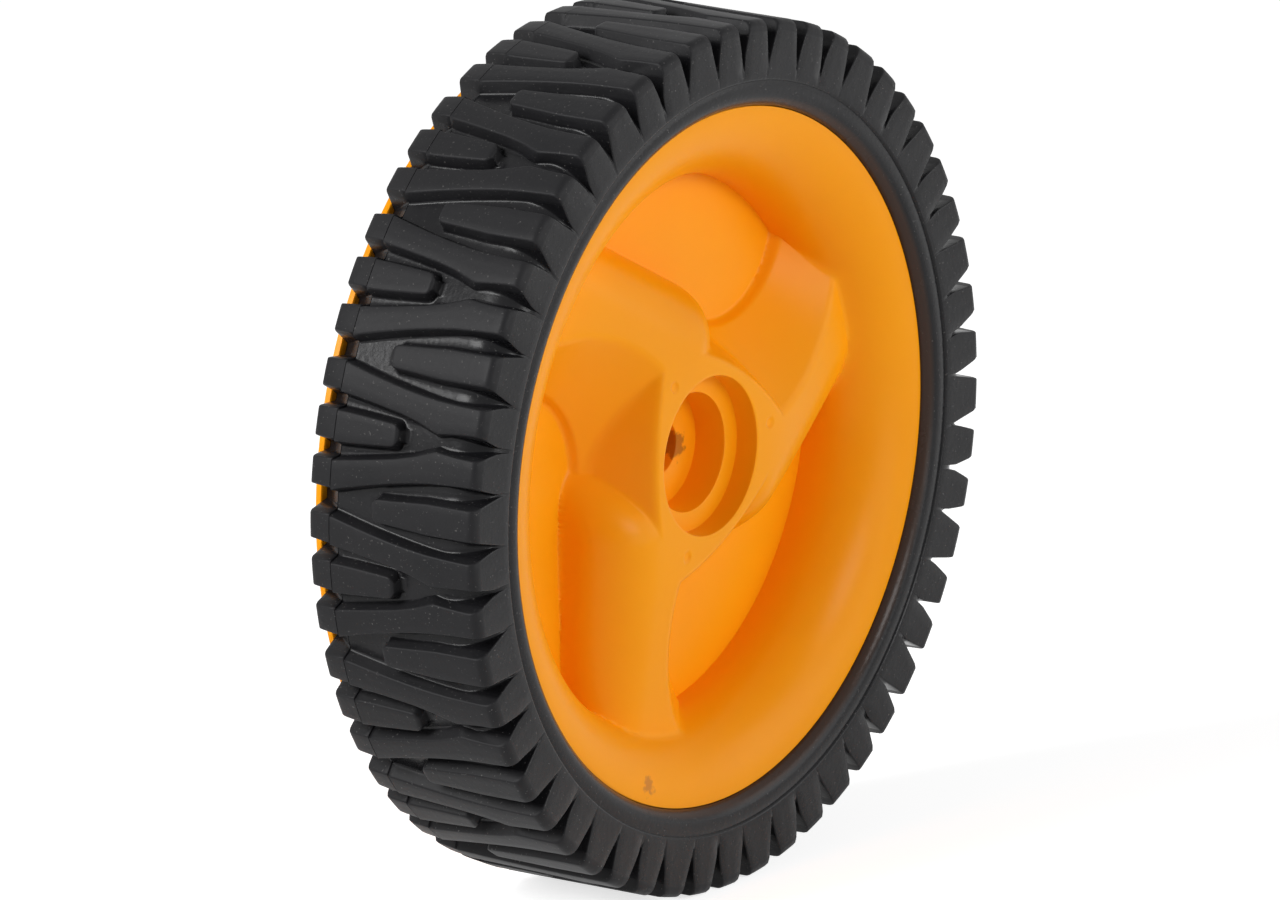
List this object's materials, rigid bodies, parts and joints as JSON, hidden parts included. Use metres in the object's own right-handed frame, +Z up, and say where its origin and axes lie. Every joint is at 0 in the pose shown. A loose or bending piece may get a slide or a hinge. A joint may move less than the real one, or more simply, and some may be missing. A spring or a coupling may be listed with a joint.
{
  "type": "lawn mower wheel",
  "caption": "Moulded plastic wheel with a swirl of arms around a stepped axle bore, fitted with a lugged rubber tyre.",
  "frame": {"origin": "centre of the wheel on the axle line, halfway across the tread", "axes": "+Y along the axle from the wheel's outer face to its machine side, +Z up, +X right seen from outside"},
  "size_m": [0.2032, 0.048, 0.2032],
  "materials": {
    "rim_plastic": "satin moulded plastic in warm yellow-orange",
    "tyre_rubber": "moulded black rubber, dull on the lugs and a little glossier in the grooves"
  },
  "bodies": {
    "root": {"rim": "rim_plastic", "tyre": "tyre_rubber"}
  },
  "joints": []
}
